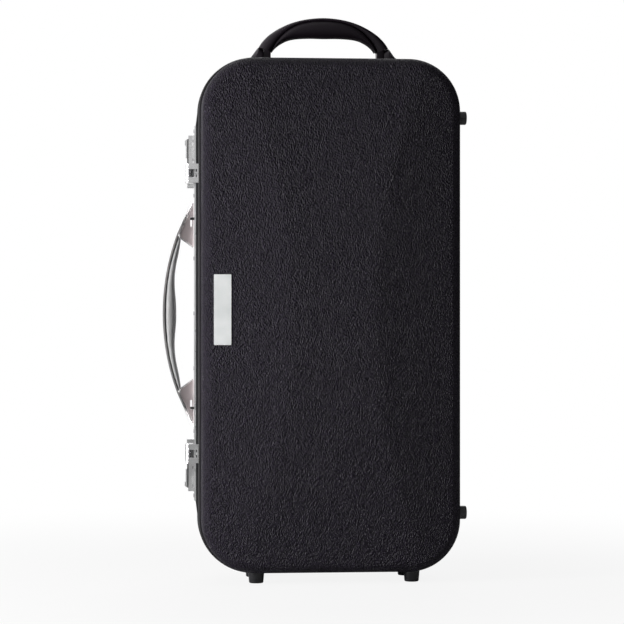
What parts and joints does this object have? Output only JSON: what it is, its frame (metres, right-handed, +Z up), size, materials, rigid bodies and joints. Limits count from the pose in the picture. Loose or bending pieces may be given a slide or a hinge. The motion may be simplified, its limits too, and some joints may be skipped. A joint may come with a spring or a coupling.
{
  "type": "bassoon case",
  "caption": "Upright bassoon case with a faceted moulded lid, edge hinges, slide locks, a metal-ended side handle, an arched top handle and rubber feet.",
  "frame": {"origin": "bottom centre of the bounding box, on the plane that the bottom feet stand on", "axes": "+Z up along the case's height, -Y towards the lid, -X towards the locks and the carrying handle"},
  "size_m": [0.3832, 0.156, 0.7181],
  "materials": {
    "shell": "satin",
    "rim": "satin",
    "seal": "matte",
    "lining": "matte",
    "foam": "matte",
    "rail": "satin",
    "plate": "satin",
    "lock_metal": "satin",
    "spring_steel": "satin",
    "screw_steel": "satin",
    "hinge_metal": "satin",
    "bracket_metal": "satin",
    "strap_metal": "satin",
    "lug_metal": "satin",
    "handle_grip": "satin",
    "top_handle": "satin",
    "top_grip": "satin",
    "foot_gloss": "gloss",
    "foot_satin": "satin"
  },
  "bodies": {
    "base": {"base_shell": "shell", "base_rim": "rim", "rail_seat": "rim", "gasket": "seal", "foam_floor": "foam", "foam_frame": "foam", "wing_divider": "foam", "bell_divider": "foam", "boot_divider": "foam", "wing_block": "foam", "boot_block": "foam", "accessory_wall": "foam", "side_rail": "rail", "upper_lock_body": "lock_metal", "lower_lock_body": "lock_metal", "upper_lock_spring": "spring_steel", "lower_lock_spring": "spring_steel", "rail_screws": "screw_steel", "lock_screws": "screw_steel", "base_foot_screws": "screw_steel", "top_handle_screws": "screw_steel", "top_handle_pins": "screw_steel", "base_hinge_leaves": "hinge_metal", "hinge_pins": "hinge_metal", "base_hinge_screws": "hinge_metal", "handle_lugs": "lug_metal", "top_handle_ears": "top_handle", "base_bottom_feet": "foot_gloss", "base_side_feet": "foot_satin"},
    "lid": {"lid_shell": "shell", "lid_rim": "rim", "lid_lining": "lining", "name_plate": "plate", "lid_bottom_feet": "foot_gloss", "lid_side_feet": "foot_satin", "lid_foot_screws": "screw_steel", "lid_hinge_leaves": "hinge_metal", "lid_hinge_screws": "hinge_metal", "upper_hasp_bracket": "lock_metal", "lower_hasp_bracket": "lock_metal", "hasp_bracket_rivets": "lock_metal", "upper_hasp_pin": "lock_metal", "lower_hasp_pin": "lock_metal"},
    "upper_hasp": {"upper_hasp": "lock_metal"},
    "lower_hasp": {"lower_hasp": "lock_metal"},
    "upper_slider": {"upper_lock_slider": "lock_metal"},
    "lower_slider": {"lower_lock_slider": "lock_metal"},
    "side_handle": {"upper_handle_bracket": "bracket_metal", "lower_handle_bracket": "bracket_metal", "handle_strap": "strap_metal", "handle_grip": "handle_grip", "handle_rivets": "strap_metal"},
    "top_handle": {"top_handle_frame": "top_handle", "top_handle_grip": "top_grip"}
  },
  "joints": [
    {"name": "lid_hinge", "type": "hinge", "parent": "base", "child": "lid", "pos_m": [0.1846, -0.0037, 0.3365], "axis": [0, 0, 1], "range_deg": [0, 110]},
    {"name": "upper_hasp_hinge", "type": "hinge", "parent": "lid", "child": "upper_hasp", "pos_m": [-0.1591, -0.0115, 0.5165], "axis": [0, 0, 1], "range_deg": [0, 100]},
    {"name": "lower_hasp_hinge", "type": "hinge", "parent": "lid", "child": "lower_hasp", "pos_m": [-0.1591, -0.0115, 0.1615], "axis": [0, 0, 1], "range_deg": [0, 100]},
    {"name": "upper_slider_slide", "type": "slide", "parent": "base", "child": "upper_slider", "axis": [0, 0, 1], "range_m": [0, 0.005], "stiffness_N_per_m": 300, "springref_m": -0.002, "deforming": ["upper_lock_spring"]},
    {"name": "lower_slider_slide", "type": "slide", "parent": "base", "child": "lower_slider", "axis": [0, 0, -1], "range_m": [0, 0.005], "stiffness_N_per_m": 300, "springref_m": -0.002, "deforming": ["lower_lock_spring"]},
    {"name": "side_handle_swing", "type": "hinge", "parent": "base", "child": "side_handle", "pos_m": [-0.1539, 0.006, 0.339], "axis": [0, 0, 1], "range_deg": [-60, 60]},
    {"name": "top_handle_swing", "type": "hinge", "parent": "base", "child": "top_handle", "pos_m": [0.0164, 0.036, 0.669], "axis": [1, 0, 0], "range_deg": [-60, 60]}
  ]
}
